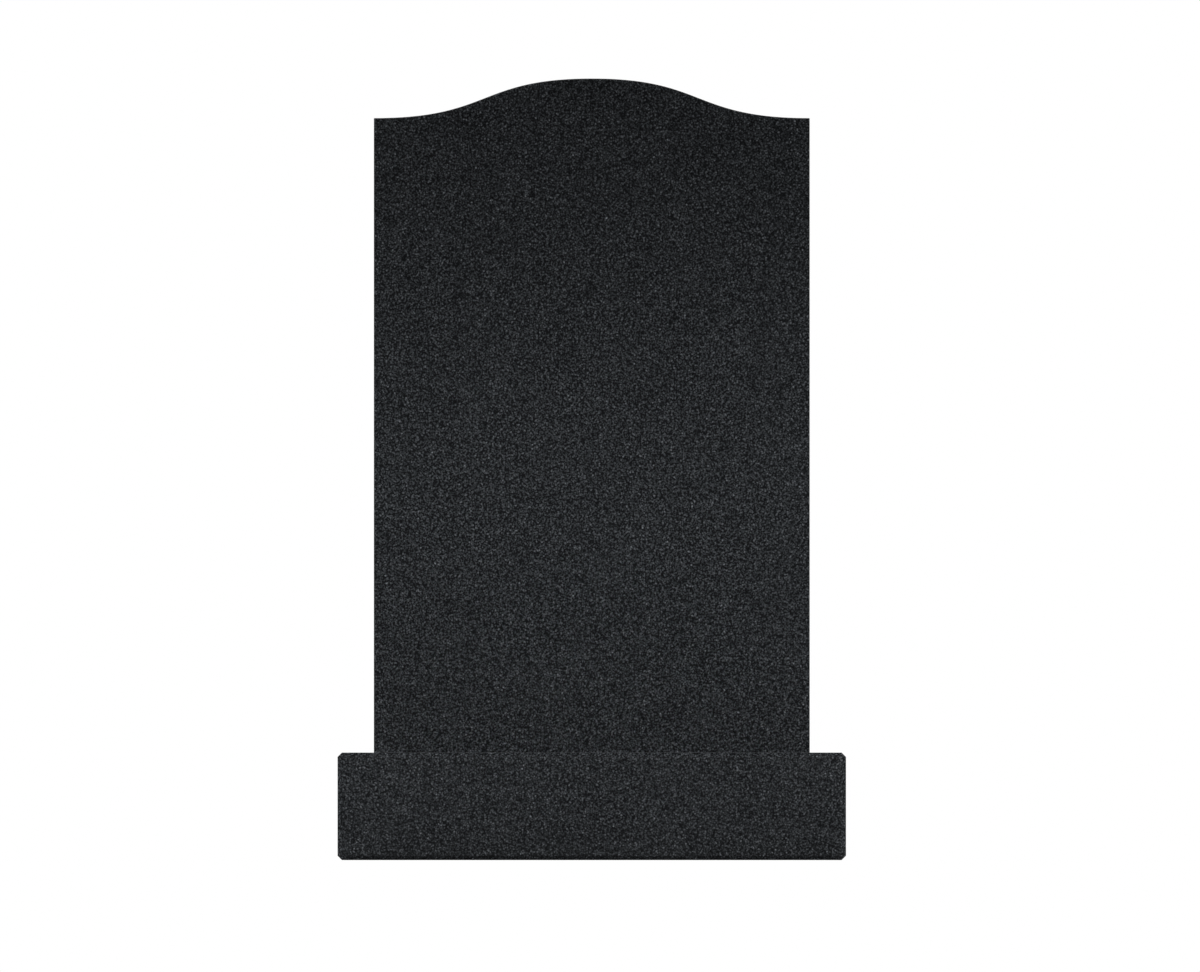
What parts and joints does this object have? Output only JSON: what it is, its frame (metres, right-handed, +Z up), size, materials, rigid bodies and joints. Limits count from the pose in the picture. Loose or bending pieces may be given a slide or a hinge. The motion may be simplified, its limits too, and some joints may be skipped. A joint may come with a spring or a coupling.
{
  "type": "headstone",
  "caption": "Upright granite headstone: a flat tablet with an ogee top, standing centred on a wider rectangular base block with chamfered edges.",
  "frame": {"origin": "on the ground, under the middle of the base block", "axes": "+Z up, -Y out of the front face, +X to the right of a person who faces the front"},
  "size_m": [0.7, 0.2, 1.076],
  "materials": {
    "tablet_granite": "gloss",
    "base_granite": "gloss"
  },
  "bodies": {
    "root": {"tablet": "tablet_granite", "base_block": "base_granite"}
  },
  "joints": []
}
